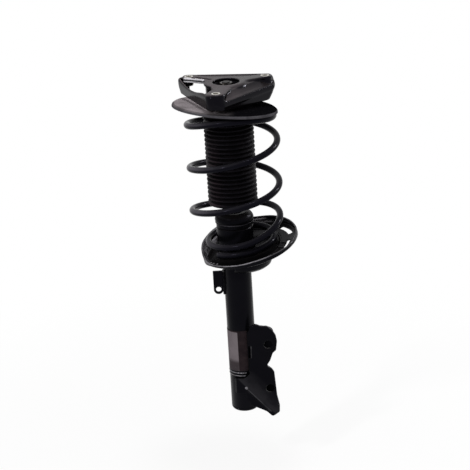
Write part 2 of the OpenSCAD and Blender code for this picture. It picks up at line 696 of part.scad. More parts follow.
module bare_label() color([0.45, 0.42, 0.42]) on_strut() rotate([0, 0, 165])
    rotate_extrude(angle = 97) translate([tube_r + slip, label_foot])
        square([label_t, label_top - label_foot]);

module label_bands() color([0.6, 0.6, 0.62]) on_strut() for (k = [0, 1])
    rotate([0, 0, 100]) rotate_extrude(angle = 164)
        translate([tube_r + slip, label_foot - band_drop - k * band_step])
        square([band_t, band_h]);

mount_shell();
mount_inserts();
mount_rubber();
bush_sleeve();
rod_washer();
rod_nut();
upper_bearing_race();
piston_rod();
piston();
piston_ring();
piston_nut();
rebound_stop();
lower_bearing_race();
bearing_cage();
bearing_balls();
upper_spring_seat();
upper_spring_pad();
jounce_bumper();
dust_boot();
coil_spring();
lower_spring_pad();
lower_spring_seat();
seat_collar();
seat_brace();
striker_cap();
outer_tube();
base_cup();
pressure_tube();
base_valve();
rod_guide();
rod_seal();
gland_ring();
hose_bracket();
knuckle_bracket_front();
knuckle_bracket_rear();
bracket_web();
bare_label();
label_bands();
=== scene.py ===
import bpy
import bmesh
import json
import math
import numpy as np
from mathutils import Matrix, Vector


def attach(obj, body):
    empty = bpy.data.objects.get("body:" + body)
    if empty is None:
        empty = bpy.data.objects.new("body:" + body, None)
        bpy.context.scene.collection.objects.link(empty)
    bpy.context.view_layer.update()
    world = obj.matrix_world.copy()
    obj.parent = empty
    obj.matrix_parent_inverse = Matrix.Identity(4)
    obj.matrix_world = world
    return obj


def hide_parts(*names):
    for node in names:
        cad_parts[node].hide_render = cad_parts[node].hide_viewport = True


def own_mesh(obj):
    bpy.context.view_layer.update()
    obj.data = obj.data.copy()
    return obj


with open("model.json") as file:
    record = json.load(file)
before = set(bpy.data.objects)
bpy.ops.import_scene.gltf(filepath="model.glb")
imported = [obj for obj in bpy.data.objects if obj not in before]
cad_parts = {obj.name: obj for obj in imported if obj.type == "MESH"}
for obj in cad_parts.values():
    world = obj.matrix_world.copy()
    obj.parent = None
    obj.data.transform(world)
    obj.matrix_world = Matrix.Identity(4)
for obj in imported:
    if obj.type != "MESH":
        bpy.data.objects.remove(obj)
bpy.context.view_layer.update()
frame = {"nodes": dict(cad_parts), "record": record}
MM = 0.001
AXIS_X = 5.0                       # the strut's axis in the row's frame, in millimetres
TUBE_R = 25.5                      # the damper's tube, in millimetres


# ---------------- camera
ELEVATION, LEAN, DISTANCE = math.radians(19.31), math.radians(3.5), 3.467
TARGET = Vector((0.0045, 0, -0.2894))
SENSOR_MM, PHOTO_PX, FOCAL_PX = 36, 470, 1900


def make_camera():
    """Looks down on the strut, whose top leans to the left in the picture."""
    ahead = Vector((0, math.cos(ELEVATION), -math.sin(ELEVATION)))
    right = Vector((1, 0, 0))
    up = Vector((0, math.sin(ELEVATION), math.cos(ELEVATION)))
    cam_x = math.cos(LEAN) * right - math.sin(LEAN) * up
    cam_y = math.sin(LEAN) * right + math.cos(LEAN) * up
    data = bpy.data.cameras.new("camera")
    data.sensor_width = SENSOR_MM
    data.lens = SENSOR_MM * FOCAL_PX / PHOTO_PX
    data.clip_start, data.clip_end = 0.05, 60
    cam = bpy.data.objects.new("camera", data)
    bpy.context.scene.collection.objects.link(cam)
    turn = Matrix((cam_x, cam_y, -ahead)).transposed().to_4x4()
    cam.matrix_world = Matrix.Translation(TARGET - ahead * DISTANCE) @ turn
    bpy.context.scene.camera = cam


# ---------------- shader nodes
class Graph:
    """Adds shader nodes to a new material or world and links them."""

    def __init__(self, owner):
        owner.use_nodes = True
        self.owner, self.tree = owner, owner.node_tree
        self.bsdf = self.tree.nodes.get("Principled BSDF")

    def add(self, kind, **settings):
        node = self.tree.nodes.new(kind)
        for key, value in settings.items():
            setattr(node, key, value)
        return node

    def feed(self, socket, value):
        """Links a socket to another node's output, or sets it to a plain value."""
        if isinstance(value, bpy.types.NodeSocket):
            self.tree.links.new(value, socket)
        elif socket.type == "RGBA":
            socket.default_value = (*value, 1)
        else:
            socket.default_value = value

    def place(self):
        """Place on the part, in metres in its own frame."""
        return self.add("ShaderNodeTexCoord").outputs["Object"]

    def normal(self):
        return self.add("ShaderNodeNewGeometry").outputs["Normal"]

    def noise(self, scale, detail, rough=0.55, distort=0.0, stretch=None):
        node = self.add("ShaderNodeTexNoise")
        vector = self.place()
        if stretch:
            mapping = self.add("ShaderNodeMapping")
            self.feed(mapping.inputs["Vector"], vector)
            self.feed(mapping.inputs["Scale"], stretch)
            vector = mapping.outputs["Vector"]
        for key, value in (("Vector", vector), ("Scale", scale), ("Detail", detail),
                           ("Roughness", rough), ("Distortion", distort)):
            self.feed(node.inputs[key], value)
        return node.outputs["Fac"]

    def span(self, value, a, b, c=0.0, d=1.0, smooth=True):
        """Takes a value from between a and b to between c and d, and holds it at the ends."""
        node = self.add("ShaderNodeMapRange", interpolation_type="SMOOTHSTEP" if smooth else "LINEAR")
        for key, given in (("Value", value), ("From Min", a), ("From Max", b), ("To Min", c), ("To Max", d)):
            self.feed(node.inputs[key], given)
        return node.outputs["Result"]

    def math(self, kind, a, b, clamp=False):
        node = self.add("ShaderNodeMath", operation=kind, use_clamp=clamp)
        self.feed(node.inputs[0], a)
        self.feed(node.inputs[1], b)
        return node.outputs[0]

    def times(self, a, b, clamp=False):
        return self.math("MULTIPLY", a, b, clamp)

    def plus(self, a, b, clamp=False):
        return self.math("ADD", a, b, clamp)

    def vector(self, kind, a, b=None):
        node = self.add("ShaderNodeVectorMath", operation=kind)
        self.feed(node.inputs[0], a)
        if b is not None:
            self.feed(node.inputs[1], b)
        return node.outputs["Vector" if kind == "MULTIPLY" else "Value"]

    def mix(self, share, a, b):
        node = self.add("ShaderNodeMix", data_type="RGBA")
        for i, value in ((0, share), (6, a), (7, b)):
            self.feed(node.inputs[i], value)
        return node.outputs[2]

    def part(self, vector, letter):
        node = self.add("ShaderNodeSeparateXYZ")
        self.feed(node.inputs[0], vector)
        return node.outputs[letter]

    def facing_up(self, low, high):
        return self.span(self.part(self.normal(), "Z"), low, high)

    def along(self, letter, a, b, c=0.0, d=1.0):
        """A value that goes from c to d between two places on one of the part's axes."""
        return self.span(self.part(self.place(), letter), a, b, c, d)

    def painted_side_light(self, tone, towards, low, share, side_light, letter, fade):
        """A tone with painted light on the faces turned one way, uneven, which fades along one axis."""
        turned = self.span(self.vector("DOT_PRODUCT", self.normal(), Vector(towards).normalized()), low, 1.0)
        lit_share = self.times(turned, self.span(self.noise(24, 5, 0.6), 0.3, 0.7, 0.55, 1.0))
        return self.mix(self.times(self.times(lit_share, share), self.along(letter, *fade)), tone, side_light)

    def edges(self):
        return self.span(self.add("ShaderNodeNewGeometry").outputs["Pointiness"], 0.63, 0.74)

    def surface(self, colour, roughness, bumps, **constants):
        """Closes a material; each bump is a height, its strength and its distance in metres."""
        self.feed(self.bsdf.inputs["Base Color"], colour)
        self.feed(self.bsdf.inputs["Roughness"], roughness)
        last = None
        for height, strength, distance in bumps:
            node = self.add("ShaderNodeBump")
            for key, value in (("Height", height), ("Strength", strength), ("Distance", distance)):
                self.feed(node.inputs[key], value)
            if last:
                self.feed(node.inputs["Normal"], last)
            last = node.outputs["Normal"]
        self.feed(self.bsdf.inputs["Normal"], last)
        for key, value in constants.items():
            self.feed(self.bsdf.inputs[key.replace("_", " ")], value)
        return self.owner


# ---------------- materials
ROAD_DUST, WORN_EDGE, RUST = (0.17, 0.13, 0.115), (0.06, 0.057, 0.055), (0.16, 0.11, 0.08)
COAT_SHINE, RUBBER_SHINE = (0.74, 0.7, 1.0), (0.78, 0.72, 1.0)


def coated(name, base, light, rough, dust=ROAD_DUST, dust_share=0.35, slant=(0.1, 1.0), dust_and_light_side=None,
           marks=None, side_light=None, painted_light_tone=None, wear_share=0.3, spec=0.16, grain=0.0002):
    """Painted or moulded parts: uneven tone, road dust on top, added marks, painted side light, painted
    highlights and light stored on the piece, and edge wear.
    """
    g = Graph(bpy.data.materials.new(name))
    cloud, fine = g.noise(14, 5, 0.55, 0.2), g.noise(420, 5, 0.6)
    tone = g.mix(g.span(cloud, 0.3, 0.75), base, light)
    tone = g.mix(g.times(g.span(fine, 0.45, 0.75), 0.25), tone, light)
    patches = g.times(g.span(g.noise(11, 6, 0.6, 0.3), 0.3, 0.75, 0.35, 1.0), g.facing_up(*slant))
    # dust heavier towards one side, which is partly painted light on the lit side
    if dust_and_light_side:
        patches = g.times(patches, g.along("X", *dust_and_light_side))
    speck = g.span(g.noise(900, 3, 0.6), 0.58, 0.72)
    dusty = g.times(g.plus(patches, g.times(speck, 0.05)), dust_share, True)
    tone = g.mix(dusty, tone, dust)
    if marks:
        tone = marks(g, tone)
    # painted light on the faces turned towards the left front
    if side_light:
        tone = g.painted_side_light(tone, **side_light)
    # painted highlights and painted light, stored on the piece as its rub attribute
    if painted_light_tone:
        stored = g.add("ShaderNodeAttribute", attribute_name="rub").outputs["Fac"]
        tone = g.mix(g.times(stored, g.span(g.noise(45, 5, 0.65), 0.3, 0.6, 0.35, 1.0)), tone, painted_light_tone)
    rub = g.times(g.times(g.edges(), g.span(g.noise(140, 5, 0.7), 0.4, 0.62)), wear_share)
    uneven = g.span(cloud, 0.3, 0.75, rough - 0.03, rough + 0.06, False)
    bumps = [(g.noise(60, 3, 0.5), 0.2, grain * 2), (fine, 0.2, grain),
             (g.noise(1500, 2, 0.5), 0.15, grain * 0.5)]
    return g.surface(g.mix(rub, tone, WORN_EDGE), g.plus(uneven, g.times(dusty, 0.6), True), bumps,
                     Specular_IOR_Level=spec, Specular_Tint=COAT_SHINE)


def label_tones(g, tone):
    """The label's dark parts: its right side, which is painted shade over a brown, rusty tint, its top edge
    and an uneven stretch above its lower edge.
    """
    past = g.math("MAXIMUM", g.along("X", -0.003, -0.0022), g.along("Z", -0.472, -0.4712))
    lower_stretch = g.times(g.along("Z", -0.534, -0.524, 0.8, 0.0), g.span(g.noise(60, 4, 0.6), 0.2, 0.5, 0.7, 1.0))
    brown = g.mix(g.span(g.noise(70, 5, 0.6), 0.35, 0.7), (0.0125, 0.0085, 0.0092), (0.022, 0.0152, 0.016))
    return g.mix(g.math("MAXIMUM", past, lower_stretch), tone, brown)


def lip_light(g, tone):
    """The upper seat's rim, painted lighter: painted light on its lit brim."""
    reach = g.vector("LENGTH", g.vector("MULTIPLY", g.place(), (1, 1, 0)))
    lip = g.times(g.span(reach, 0.0925, 0.0935), g.span(g.noise(40, 5, 0.6), 0.25, 0.6, 0.45, 1.0))
    return g.mix(lip, tone, (0.075, 0.072, 0.08))


def bare_metal(name, base, light, rough, spread=(1, 1, 12), dark_above=None):
    """Steel, zinc or chrome: streaks, a few rust stains and, on the rod, a dark threaded end."""
    g = Graph(bpy.data.materials.new(name))
    streak, cloud = g.noise(160, 5, 0.6, 0.0, spread), g.noise(60, 5, 0.6)
    stain = g.times(g.span(cloud, 0.5, 0.75), 0.35, True)
    tone = g.mix(stain, g.mix(g.span(streak, 0.35, 0.7), base, light), RUST)
    uneven = g.span(streak, 0.3, 0.75, rough - 0.06, rough + 0.08, False)
    uneven = g.plus(uneven, g.times(stain, 0.3), True)
    if dark_above is not None:
        end = g.along("Z", dark_above, dark_above + 0.001)
        tone = g.mix(end, tone, (0.012, 0.011, 0.01))
        uneven = g.plus(uneven, g.times(end, 0.35), True)
    bumps = [(streak, 0.12, 0.0001), (g.noise(900, 3, 0.5), 0.1, 0.0001)]
    return g.surface(tone, uneven, bumps, Metallic=1.0)


def rubber(name, base, light, dust_share, rough=0.6, dust=(0.13, 0.095, 0.08), side_light=None):
    """Black rubber with a dusty bloom on what faces up, and painted side light where given."""
    g = Graph(bpy.data.materials.new(name))
    cloud, fine = g.noise(30, 6, 0.62, 0.3), g.noise(650, 4, 0.6)
    bloom = g.plus(g.times(g.facing_up(-0.1, 0.9), 0.7), 0.12)
    bloom = g.times(bloom, g.span(g.noise(55, 7, 0.7, 0.6), 0.35, 0.7))
    dusty = g.times(bloom, dust_share, True)
    tone = g.mix(dusty, g.mix(g.span(cloud, 0.35, 0.7), base, light), dust)
    if side_light:
        tone = g.painted_side_light(tone, **side_light)
    uneven = g.span(cloud, 0.3, 0.7, rough - 0.06, rough + 0.1, False)
    return g.surface(tone, g.plus(uneven, g.times(dusty, 0.35), True),
                     [(fine, 0.25, 0.0002), (g.noise(110, 5, 0.6), 0.2, 0.0004)],
                     Specular_IOR_Level=0.05, Specular_Tint=RUBBER_SHINE)


def foam(name):
    """The bump stop's cellular foam."""
    g = Graph(bpy.data.materials.new(name))
    cells = g.add("ShaderNodeTexVoronoi")
    g.feed(cells.inputs["Vector"], g.place())
    g.feed(cells.inputs["Scale"], 900)
    cell, cloud = cells.outputs["Distance"], g.noise(60, 5)
    tone = g.mix(g.span(cell, 0.1, 0.7), (0.42, 0.35, 0.2), (0.62, 0.54, 0.36))
    tone = g.mix(g.times(g.span(cloud, 0.4, 0.75), 0.5), tone, (0.2, 0.16, 0.11))
    uneven = g.span(cloud, 0.3, 0.7, 0.75, 0.95)
    return g.surface(tone, uneven, [(cell, 0.4, 0.0006)], Specular_IOR_Level=0.2)


BLACK, BLACK_LIGHT = (0.0022, 0.0022, 0.0028), (0.0034, 0.0034, 0.0042)
EVEN = (3, 3, 3)                   # grain of bare metal that isn't turned on a lathe
# painted light from the left front on the faces turned that way: on the coil it fades towards the right, on
# the boot it fades upwards, which leaves painted shade on the boot's upper part under the seat
SPRING_SIDE_LIGHT = dict(towards=(-0.6, -0.42, 0.68), low=0.62, share=0.75, side_light=(0.13, 0.122, 0.142),
                   letter="X", fade=(-0.075, -0.01, 1.0, 0.16))
BOOT_SIDE_LIGHT = dict(towards=(-0.85, -0.45, 0.3), low=0.68, share=0.9, side_light=(0.032, 0.021, 0.025),
                 letter="Z", fade=(-0.15, -0.07, 1.0, 0.12))
MATS = {
    # its stored tone paints highlights and light on the dish and the bracket halves
    "black_paint": coated("black_paint", BLACK, BLACK_LIGHT, 0.24, dust_share=0.03, spec=0.04,
                          painted_light_tone=(0.8, 0.77, 0.83)),
    # dust heavier towards the left, partly painted light; its stored tone paints highlights on the shell
    "mount_casting": coated("mount_casting", (0.0022, 0.002, 0.0023), (0.0036, 0.0033, 0.0036), 0.16,
                            (0.11, 0.09, 0.095), 0.75, (0.55, 1.0), (0.085, -0.06, 0.25, 1.0),
                            painted_light_tone=(0.8, 0.78, 0.82), spec=0.075),
    # dust only on the left, partly painted light, which leaves painted shade on the right; painted light on
    # the rim
    "seat_paint": coated("seat_paint", BLACK, BLACK_LIGHT, 0.4, (0.37, 0.33, 0.345), 1.0, (0.75, 0.99),
                         (0.02, -0.05, 0.0, 1.0), marks=lip_light, spec=0.0),
    "spring_coat": coated("spring_coat", (0.0036, 0.0034, 0.0056), (0.0052, 0.005, 0.0074), 0.17,
                          (0.16, 0.15, 0.15), 0.02, side_light=SPRING_SIDE_LIGHT, spec=0.028, grain=0.0001),
    "dark_steel": bare_metal("dark_steel", (0.02, 0.019, 0.018), (0.045, 0.043, 0.04), 0.4, EVEN),
    # its stored tone paints a highlight on the striker's bead
    "cap_plastic": coated("cap_plastic", (0.0024, 0.0024, 0.003), (0.004, 0.004, 0.005), 0.26,
                          dust_share=0.05, painted_light_tone=(0.2, 0.19, 0.22), spec=0.035),
    "cage_plastic": coated("cage_plastic", (0.03, 0.04, 0.035), (0.05, 0.06, 0.055), 0.5),
    "label_film": coated("label_film", (0.12, 0.102, 0.11), (0.18, 0.155, 0.165), 0.6, (0.16, 0.13, 0.12),
                         0.4, marks=label_tones, wear_share=0.2, spec=0.05),
    "rubber": rubber("rubber", (0.0028, 0.0027, 0.003), (0.005, 0.0048, 0.005), 0.03),
    "boot_rubber": rubber("boot_rubber", (0.0024, 0.0022, 0.0026), (0.004, 0.0035, 0.004), 0.12, 0.42,
                          (0.04, 0.032, 0.038), BOOT_SIDE_LIGHT),
    "foam": foam("foam"),
    "zinc": bare_metal("zinc", (0.5, 0.48, 0.44), (0.68, 0.66, 0.6), 0.35, EVEN),
    "steel": bare_metal("steel", (0.42, 0.42, 0.42), (0.56, 0.56, 0.55), 0.32),
    "chrome_rod": bare_metal("chrome_rod", (0.62, 0.62, 0.63), (0.72, 0.72, 0.72), 0.14, dark_above=-0.028),
    "bright_band": bare_metal("bright_band", (0.07, 0.068, 0.075), (0.27, 0.26, 0.28), 0.42, (6, 6, 1)),
}


# ---------------- making pieces
def edit(mesh, change):
    """Runs a change on a mesh in its bmesh form."""
    bm = bmesh.new()
    bm.from_mesh(mesh)
    change(bm)
    bm.to_mesh(mesh)
    bm.free()


def piece(name, verts, faces, slot, body, replaces):
    """A mesh piece: points in millimetres about the strut's axis, in the row frame's directions."""
    mesh = bpy.data.meshes.new(name)
    mesh.from_pydata([((x + AXIS_X) * MM, y * MM, z * MM) for x, y, z in verts], [], faces)
    mesh.validate()
    edit(mesh, lambda bm: bmesh.ops.recalc_face_normals(bm, faces=bm.faces))
    for face in mesh.polygons:
        face.use_smooth = True
    obj = bpy.data.objects.new(name, mesh)
    bpy.context.scene.collection.objects.link(obj)
    mesh.materials.append(MATS[slot])
    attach(obj, body)
    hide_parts(*replaces)
    return obj


def points(obj):
    """A piece's x, y and z, in millimetres about the strut's axis."""
    flat = np.empty(3 * len(obj.data.vertices))
    obj.data.vertices.foreach_get("co", flat)
    return (flat.reshape(-1, 3) / MM - (AXIS_X, 0, 0)).T


def store_painted_light(obj, shares):
    """Stores, point by point, how much painted highlight or painted light a piece gets."""
    made = obj.data.attributes.new("rub", "FLOAT", "POINT")
    made.data.foreach_set("value", np.asarray(shares, dtype=np.float32))


def rounded(corners, radius=0.0, steps=4):
    """A closed outline with each corner rounded; a corner may give its own radius as a third number."""
    out = []
    for i, corner in enumerate(corners):
        here = Vector(corner[:2])
        a, b = Vector(corners[i - 1][:2]) - here, Vector(corners[(i + 1) % len(corners)][:2]) - here
        room = 0.48 * min(a.length, b.length)
        a.normalize()
        b.normalize()
        half = math.acos(max(-1, min(1, a.dot(b)))) / 2
        if half > math.radians(88):          # nearly straight
            out.append(tuple(here))
            continue
        step = min((corner[2] if len(corner) > 2 else radius) / math.tan(half), room)
        r = step * math.tan(half)
        centre = here + (a + b).normalized() * (r / math.sin(half))
        start, end = here + a * step - centre, here + b * step - centre
        out += [tuple(centre + start.lerp(end, k / steps).normalized() * r) for k in range(steps + 1)]
    return out


def on_circle(r, degrees):
    """The point at an angle on a circle about the axis."""
    return r * math.cos(math.radians(degrees)), r * math.sin(math.radians(degrees))


def arc(x, y, r, angles):
    """Points of an arc in the plane."""
    return [(x + cx, y + cy) for cx, cy in (on_circle(r, a) for a in angles)]


def lathe(profile, segments):
    """Turns a closed outline of (radius, height) about the Z axis."""
    verts, faces = [], []
    n = len(profile)
    for i in range(segments):
        a = math.radians(360 * i / segments)
        verts += [(r * math.cos(a), r * math.sin(a), z) for r, z in profile]
        j = (i + 1) % segments
        for k in range(n):
            m = (k + 1) % n
            faces.append((i * n + k, j * n + k, j * n + m, i * n + m))
    return verts, faces


def smooth_by_angle(obj, degrees):
    """Keeps the creases over the angle sharp, and anything else smooth."""

    def crease(bm):
        for edge in bm.edges:
            edge.smooth = len(edge.link_faces) == 2 and edge.calc_face_angle(9) < math.radians(degrees)

    edit(obj.data, crease)


def turned(name, profile, segments, crease, slot, body, node):
    """A piece turned on the strut's axis, which stands for one node."""
    obj = piece(name, *lathe(profile, segments), slot, body, [node])
    smooth_by_angle(obj, crease)
    return obj


# ---------------- cast and pressed forms
def blend_min(a, b, k):
    """The smaller of two distances, with a fillet of about k where they meet."""
    h = np.maximum(k - np.abs(a - b), 0) / k
    return np.minimum(a, b) - h * h * k * 0.25


class Field:
    """A solid as signed distances on a grid; joins and cuts are blended over a fillet."""

    def __init__(self, lo, hi, step):
        self.lo, self.step = np.array(lo, float), step
        axes = [np.arange(a, b + step, step) for a, b in zip(lo, hi)]
        self.x, self.y, self.z = np.meshgrid(*axes, indexing="ij", sparse=True)
        self.shape = tuple(len(a) for a in axes)
        self.d = np.full(self.shape, 1e3)

    def join(self, other, k=1.0):
        self.d = blend_min(self.d, other, k)

    def cut(self, other, k):
        """Takes away what lies inside the other form."""
        self.d = -blend_min(-self.d, other, k)

    def keep(self, other, k):
        """Takes away what lies outside the other form."""
        self.d = -blend_min(-self.d, -other, k)

    def mesh(self):
        """Naive surface nets: one point in each cell that the surface crosses."""
        inside = self.d < 0
        n = [m - 1 for m in self.shape]
        total = np.zeros((*n, 3))
        count = np.zeros(n)

        def part(array, corner):
            return array[tuple(slice(c, c + m) for c, m in zip(corner, n))]

        edges = [(a, axis) for a in np.ndindex(2, 2, 2) for axis in range(3) if not a[axis]]
        for a, axis in edges:
            b = tuple(v + (i == axis) for i, v in enumerate(a))
            da, db = part(self.d, a), part(self.d, b)
            crossed = part(inside, a) != part(inside, b)
            t = np.where(crossed, da / np.where(crossed, da - db, 1), 0)
            for i in range(3):
                total[..., i] += np.where(crossed, a[i] + (t if i == axis else 0), 0)
            count += crossed
        used = count > 0
        index = np.full(n, -1)
        index[used] = np.arange(int(used.sum()))
        verts = self.lo + self.step * (np.argwhere(used) + total[used] / count[used][:, None])
        faces = []
        for axis in range(3):
            u, v = [i for i in range(3) if i != axis]
            at = np.argwhere(np.diff(inside, axis=axis))
            at = at[(at[:, u] > 0) & (at[:, v] > 0) & (at[:, u] < n[u]) & (at[:, v] < n[v])]
            quad = []
            for du, dv in ((0, 0), (-1, 0), (-1, -1), (0, -1)):
                cell = at.copy()
                cell[:, u] += du
                cell[:, v] += dv
                quad.append(index[tuple(cell.T)])
            faces += np.stack(quad, 1).tolist()
        return verts.tolist(), faces


def evened(obj):
    """Evens out the steps that the grid leaves."""
    even = obj.modifiers.new("even", "SMOOTH")
    even.factor, even.iterations = 0.5, 2
    return obj


def between(value, low, high):
    """Signed distance to what lies between two values."""
    return np.maximum(value - high, low - value)


def ramp(value, start, width):
    """Share that rises from 0 at start to 1 a width further on, or falls to 0 there if width is below 0."""
    return np.clip((value - start) / width, 0, 1)


def rim(a, b, edge):
    """Meeting of two half spaces, with the edge between them rounded."""
    a, b = a + edge, b + edge
    return np.minimum(np.maximum(a, b), 0) + np.hypot(np.maximum(a, 0), np.maximum(b, 0)) - edge


def disc(f, x, y, r, z0, z1, edge):
    """Distance to an upright cylinder with a rounded edge."""
    return rim(np.hypot(f.x - x, f.y - y) - r, between(f.z, z0, z1), edge)


def ball(f, x, y, z, r):
    """Distance to a ball."""
    return np.sqrt((f.x - x) ** 2 + (f.y - y) ** 2 + (f.z - z) ** 2) - r


def capsule_plan(x, y, a, b, r=0.0):
    """Distance in the plane to a rounded bar from a to b."""
    ax, ay, bx, by = a[0], a[1], b[0] - a[0], b[1] - a[1]
    t = np.clip(((x - ax) * bx + (y - ay) * by) / (bx * bx + by * by), 0, 1)
    return np.hypot(x - ax - t * bx, y - ay - t * by) - r


def polygon_plan(x, y, corners):
    """Signed distance in the plane to a closed outline."""
    best = np.full(np.broadcast(x, y).shape, 1e6)
    sign = np.ones(best.shape)
    for i, (ax, ay) in enumerate(corners):
        bx, by = corners[i - 1]
        ex, ey = bx - ax, by - ay
        wx, wy = x - ax, y - ay
        t = np.clip((wx * ex + wy * ey) / (ex * ex + ey * ey), 0, 1)
        best = np.minimum(best, (wx - t * ex) ** 2 + (wy - t * ey) ** 2)
        c = np.stack(np.broadcast_arrays(y >= ay, y < by, ex * wy > ey * wx))
        sign = np.where(c.all(0) | (~c).all(0), -sign, sign)
    return np.sqrt(best) * sign


# ---------------- coil spring
# millimetres about the strut's axis; places along the wire are counted in turns from its lower tip
WIRE_R, TAIL_R, SPRING_R, TAIL_X, BODY_X, TOP_X = 5.97, 59.5, 80, 12, 5.5, -3
CAP_X, CAP_SLOPE, CAP_PITCH, BODY_LEAN = -5, math.radians(7), math.radians(4.5), 0.031
TIP, OPEN_START, LEAD_IN, LEAD_OUT, TAIL_PITCH, PITCH = 222, 0.85, 0.8, 0.4, 17, 80.5
TAIL_Z, TOP_Z = -306.3, -55.3
DISH_LEAN_X, DISH_LEAN_Y, LIFT, CLEAR = 0.1, 0.05, 1.05, 1.4    # the dish's slopes; turns that leave it
OUT = (TOP_Z - TAIL_Z) / PITCH + (1 - TAIL_PITCH / PITCH) * (OPEN_START + LEAD_IN / 2) - LEAD_OUT / 2
TURNS = OUT + LEAD_OUT + 0.2
CHAMFER = ((0.8, 0.0), (0.93, 0.28), (1.0, 1.12))    # share of the wire's radius, millimetres from its end


def ease(a, b, t):
    """Goes smoothly from a to b as t goes from 0 to 1."""
    u = min(1, max(0, t))
    return a + (b - a) * u * u * (3 - 2 * u)


def climb(s, start, span):
    """Turns climbed at full pitch, where the pitch opens over a span."""
    u = (s - start) / span
    return 0 if u < 0 else span * (u ** 3 - u ** 4 / 2) if u < 1 else s - start - span / 2


def seat_lean(s, x, y):
    """How far the wire rises with the dish's lean at its lower end and falls with the cap's at its top."""
    tail = ease(1, 0, (s - CLEAR) / 0.5) * (x * (DISH_LEAN_X - BODY_LEAN) + y * DISH_LEAN_Y)
    body = x * (BODY_LEAN + ease(0, 0.1, (s - LIFT) / 0.3) * ease(1, 0, (s - CLEAR) / 0.4))
    seat = (x - CAP_X) * (math.tan(CAP_SLOPE) + BODY_LEAN) + y * math.tan(CAP_PITCH)
    return tail + body - ease(0, 1, (s - OUT) / LEAD_OUT) * seat


def coil_point(s):
    """Centre of the wire after s turns from the lower tip, as the CAD's coil runs."""
    a = math.radians(TIP + 360 * s)
    wide = (s - 0.8) / 0.75
    r = ease(TAIL_R, SPRING_R, wide)
    x = ease(ease(TAIL_X, BODY_X, wide), TOP_X, (s - OUT) / 0.9) + r * math.cos(a)
    y = r * math.sin(a)
    z = TAIL_Z + TAIL_PITCH * s + (PITCH - TAIL_PITCH) * climb(s, OPEN_START, LEAD_IN)
    z += seat_lean(s, x, y) - PITCH * climb(s, OUT, LEAD_OUT)
    return Vector((x, y, z))


def coil_ring(s, sides, scale=1.0, push=0.0):
    """Points round the wire after s turns."""
    along = (coil_point(s + 0.004) - coil_point(s - 0.004)).normalized()
    out = Vector((*on_circle(1, TIP + 360 * s), 0))
    side = (out - out.dot(along) * along).normalized()
    up = along.cross(side)
    centre = coil_point(s) + along * push
    turns = [2 * math.pi * k / sides for k in range(sides)]
    return [tuple(centre + WIRE_R * scale * (math.cos(b) * side + math.sin(b) * up)) for b in turns]


def coil_spring():
    sides, per_turn, seat_drop = 20, 64, 12
    steps = math.ceil(TURNS * per_turn)
    rings = [coil_ring(0, sides, scale, push) for scale, push in CHAMFER]
    rings += [coil_ring(TURNS * i / steps, sides) for i in range(1, steps)]
    rings += [coil_ring(TURNS, sides, scale, -push) for scale, push in reversed(CHAMFER)]
    faces = [tuple(reversed(range(sides))), tuple(range((len(rings) - 1) * sides, len(rings) * sides))]
    for i in range(len(rings) - 1):
        for k in range(sides):
            a, b = i * sides + k, i * sides + (k + 1) % sides
            faces.append((a, b, b + sides, a + sides))
    obj = piece("spring_coil", sum(rings, []), faces, "spring_coat", "strut_body", ["coil_spring"])
    smooth_by_angle(obj, 40)
    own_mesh(obj)


# ---------------- dust boot and bump stop
def dust_boot():
    """Bellows with narrow valleys between round ribs, and a plain cuff at each end."""
    top, length, ribs, radius, depth, wall = -42.3, 182.0, 21, 45.0, 5.5, 1.5
    upper_cuff, lower_cuff, per_rib = 5.5, 4.5, 12
    low, pitch = top - length, (length - upper_cuff - lower_cuff) / ribs
    outer = [(radius, top), (radius, top - upper_cuff + 1)]
    for i in range(ribs * per_rib + 1):
        valley = (0.5 - 0.5 * math.cos(2 * math.pi * i / per_rib)) ** 1.7
        outer.append((radius - depth * valley, top - upper_cuff - i / per_rib * pitch))
    outer += [(radius, low + 0.8), (radius - 0.6, low)]
    inner = [(r - wall, z) for r, z in reversed(outer)]
    profile = outer + [(radius - wall - 0.2, low)] + inner[1:]
    obj = turned("bellows", profile, 128, 60, "boot_rubber", "spring_cap", "dust_boot")
    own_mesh(obj)


def jounce_bumper():
    """Foam stop with two waists: each corner's radius, height above the lower end and rounding."""
    top, length, bore = -42.0, 62.0, 11.6
    corners = [(bore, 0, 1), (17, 0, 3), (21, 5, 4), (21, 12, 4), (17, 16, 2.5), (22, 21, 3), (24, 27, 4),
               (24, 33, 4), (19, 38, 3), (25, 43, 3), (27, 50, 3), (27, length, 0.5), (bore, length, 0.5)]
    profile = rounded([(r, top - length + h, soft) for r, h, soft in corners], steps=6)
    obj = turned("bump_stop", profile, 72, 60, "foam", "spring_cap", "jounce_bumper")
    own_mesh(obj)


# ---------------- top mount
EAR_CIRCLE_R, EAR_R, EAR_ANGLES = 80, 17, (-100, 20, 140)
EARS = [(x - AXIS_X, y) for x, y in (on_circle(EAR_CIRCLE_R, t) for t in EAR_ANGLES)]
FRONT, RIGHT, REAR = 0, 1, 2
CAST_WALL, CAST_DECK, INSERT_R = 4.2, 5, 8.02
BUSH_R, HUB_R, HUB_OUT_R, FLANGE_R, HUB_LOW, FLANGE_LOW = 24, 33, 37, 46, -26.3, -29.3
# the pocket's rib, and the bar along which painted highlights run on it
POCKET_RIB, HIGHLIGHT_RIB = ((-75.5, 44.5), (-39, 22.8)), ((-73, 42.2), (-41, 21.6))


def between_arms(f, first, second, half_first, half_second, radius, soft):
    """Plan distance to the field between two ears' arms, outside the hub."""
    plan = radius - np.hypot(f.x, f.y)
    for ear, half, turn in ((first, half_first, 90), (second, half_second, -90)):
        plan = -blend_min(-plan, capsule_plan(f.x, f.y, EARS[ear], (0, 0)) - half, soft)
        cos, sin = on_circle(1, EAR_ANGLES[ear] + turn)
        plan = np.maximum(plan, -((f.x + AXIS_X) * cos + f.y * sin))
    return plan


